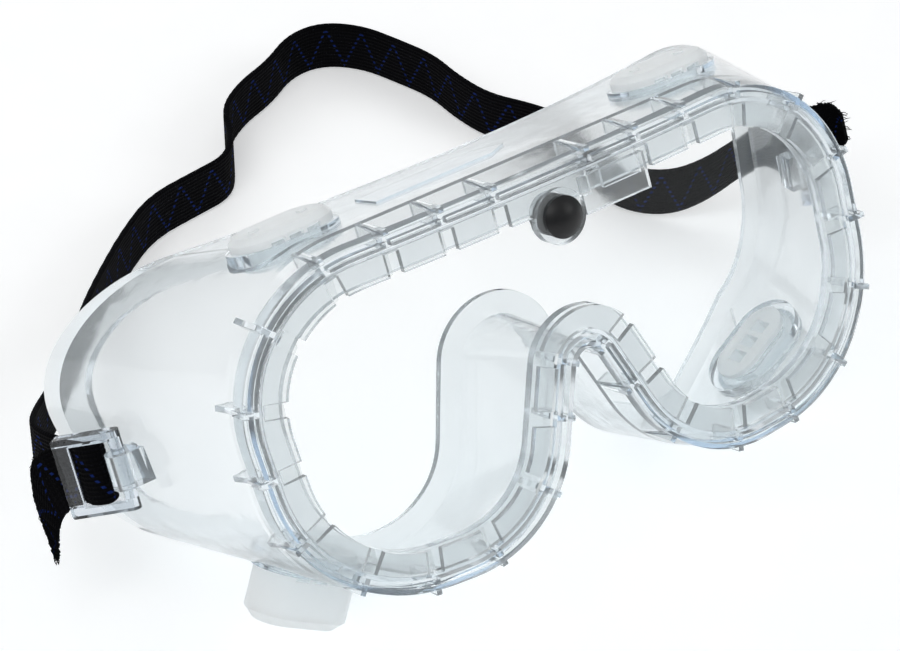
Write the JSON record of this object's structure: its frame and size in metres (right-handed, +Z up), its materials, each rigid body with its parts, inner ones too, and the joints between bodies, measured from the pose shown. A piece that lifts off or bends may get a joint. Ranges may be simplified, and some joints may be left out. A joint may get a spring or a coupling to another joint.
{
  "type": "safety goggles",
  "caption": "Clear indirect-vent splash goggles with a notched rim, curved lens, covered vents and a black elastic head strap on swivelling clips.",
  "frame": {"origin": "bottom centre of the goggles without their strap, on the surface they rest on", "axes": "+X to the wearer's left, across the goggles; +Y from the lens towards the strap; +Z up as they rest, with the worn upright leaned back 26 degrees towards the strap"},
  "size_m": [0.2084, 0.2036, 0.098],
  "materials": {
    "clear_pvc": "clear soft moulded PVC, faintly blue-green at its edges",
    "lens_clear": "clear polished polycarbonate sheet",
    "vent_milky": "milky translucent moulded plastic",
    "stud_black": "black moulded plastic with a soft shine",
    "clip_clear": "clear rigid moulded plastic",
    "strap_elastic": "black knitted elastic with a dotted blue zigzag"
  },
  "bodies": {
    "goggles": {"goggle_frame": "clear_pvc", "lens": "lens_clear", "lens_stud": "stud_black", "stud_washer": "stud_black", "vent_base_top_left": "vent_milky", "vent_cap_top_left": "vent_milky", "vent_base_bottom_left": "vent_milky", "vent_cap_bottom_left": "vent_milky", "vent_base_top_right": "vent_milky", "vent_cap_top_right": "vent_milky", "vent_base_bottom_right": "vent_milky", "vent_cap_bottom_right": "vent_milky", "strap": "strap_elastic"},
    "clip_left": {"strap_clip_left": "clip_clear", "strap_end_left": "strap_elastic"},
    "clip_right": {"strap_clip_right": "clip_clear", "strap_end_right": "strap_elastic"}
  },
  "joints": [
    {"name": "clip_swivel_left", "type": "hinge", "parent": "goggles", "child": "clip_left", "pos_m": [0.093, 0.01282, 0.04238], "axis": [0, -0.4384, -0.8988], "range_deg": [-8, 45]},
    {"name": "clip_swivel_right", "type": "hinge", "parent": "goggles", "child": "clip_right", "pos_m": [-0.093, 0.01282, 0.04238], "axis": [0, 0.4384, 0.8988], "range_deg": [-8, 45]}
  ]
}
